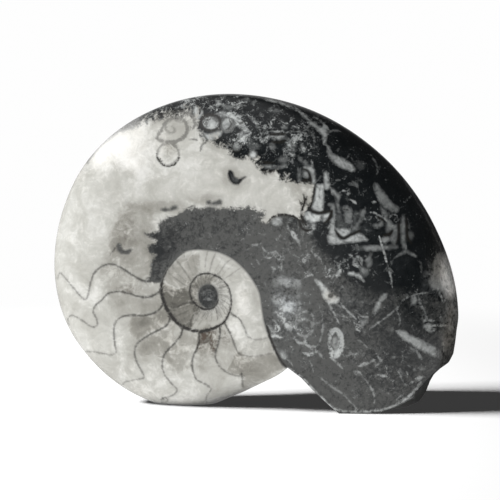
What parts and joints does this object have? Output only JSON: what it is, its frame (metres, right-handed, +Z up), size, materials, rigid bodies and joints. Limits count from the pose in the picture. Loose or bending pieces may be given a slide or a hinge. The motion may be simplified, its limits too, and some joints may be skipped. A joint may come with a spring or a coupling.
{
  "type": "goniatite fossil",
  "caption": "Polished goniatite fossil, a coiled chambered shell in black limestone and white calcite, ground to stand upright on two feet.",
  "frame": {"origin": "on the surface it stands on, under the middle of the stone", "axes": "+X along the stone towards the broken end of the body chamber, -Y out of the flank that shows the inner coil to the left of the notch, +Z up"},
  "size_m": [0.1412, 0.0484, 0.1083],
  "materials": {
    "polished_stone": "polished black limestone and white calcite"
  },
  "bodies": {
    "root": {"goniatite": "polished_stone"}
  },
  "joints": []
}
